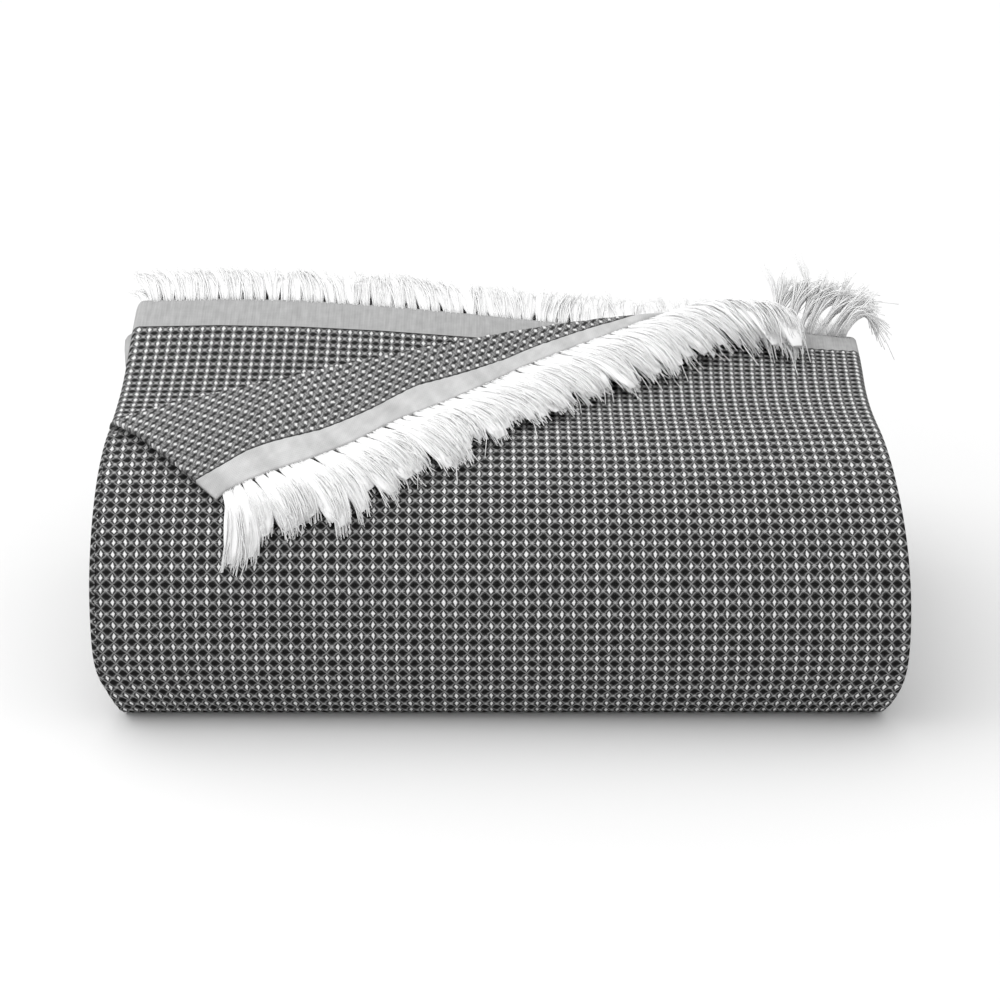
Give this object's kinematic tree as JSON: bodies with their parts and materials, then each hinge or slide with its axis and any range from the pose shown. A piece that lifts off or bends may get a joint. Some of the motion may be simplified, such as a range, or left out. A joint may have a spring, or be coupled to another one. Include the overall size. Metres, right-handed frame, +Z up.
{
  "type": "folded waffle weave blanket",
  "caption": "Folded waffle weave cotton blanket with fringed ends, one corner of its upper end turned down over the round front fold.",
  "frame": {"origin": "middle of the flat underside of the folded stack", "axes": "+X across the stack from left to right as seen from its round front fold, +Y from the front fold to the open back with the fringes, +Z up"},
  "size_m": [0.4409, 0.3126, 0.1635],
  "materials": {
    "waffle_cloth": "dark grey cotton in a small waffle weave with white and light grey yarns, and a light grey plain-woven band at each end",
    "fringe": "soft white cotton yarn, matt"
  },
  "bodies": {
    "root": {"blanket": "waffle_cloth", "fringe_turned": "fringe", "fringe_middle": "fringe", "fringe_lower": "fringe", "fringe_far_upper": "fringe", "fringe_far_middle": "fringe", "fringe_far_lower": "fringe"}
  },
  "joints": []
}
